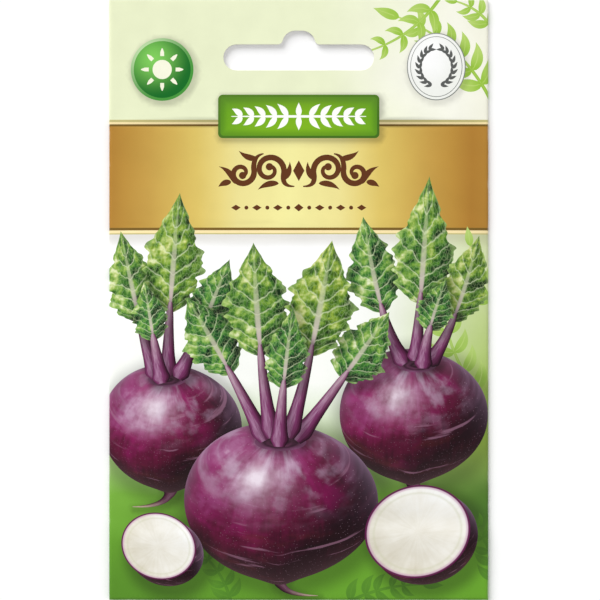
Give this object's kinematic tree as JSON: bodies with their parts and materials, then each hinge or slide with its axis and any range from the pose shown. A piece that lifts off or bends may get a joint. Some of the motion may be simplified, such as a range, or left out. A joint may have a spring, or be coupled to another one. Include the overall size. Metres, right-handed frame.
{
  "type": "seed packet",
  "caption": "Flat paper seed packet with a euro hang slot, a printed front, a lap seam down its back and a sealed inner sachet of seeds.",
  "frame": {"origin": "middle of the packet's outline, on the surface that its back lies on", "axes": "+X to the right across the printed front, +Y from the folded foot to the header with the hang slot, +Z out of the printed front"},
  "size_m": [0.08, 0.1264, 0.0042],
  "materials": {
    "printed_paper": "coated paper printed in several inks, satin",
    "sachet_paper": "plain paper web with crimped seals, matt",
    "seed_coat": "dark brown seed coat, matt"
  },
  "bodies": {
    "root": {"paper_bag": "printed_paper", "sachet_lower_web": "sachet_paper", "sachet_upper_web": "sachet_paper", "seeds": "seed_coat"}
  },
  "joints": []
}
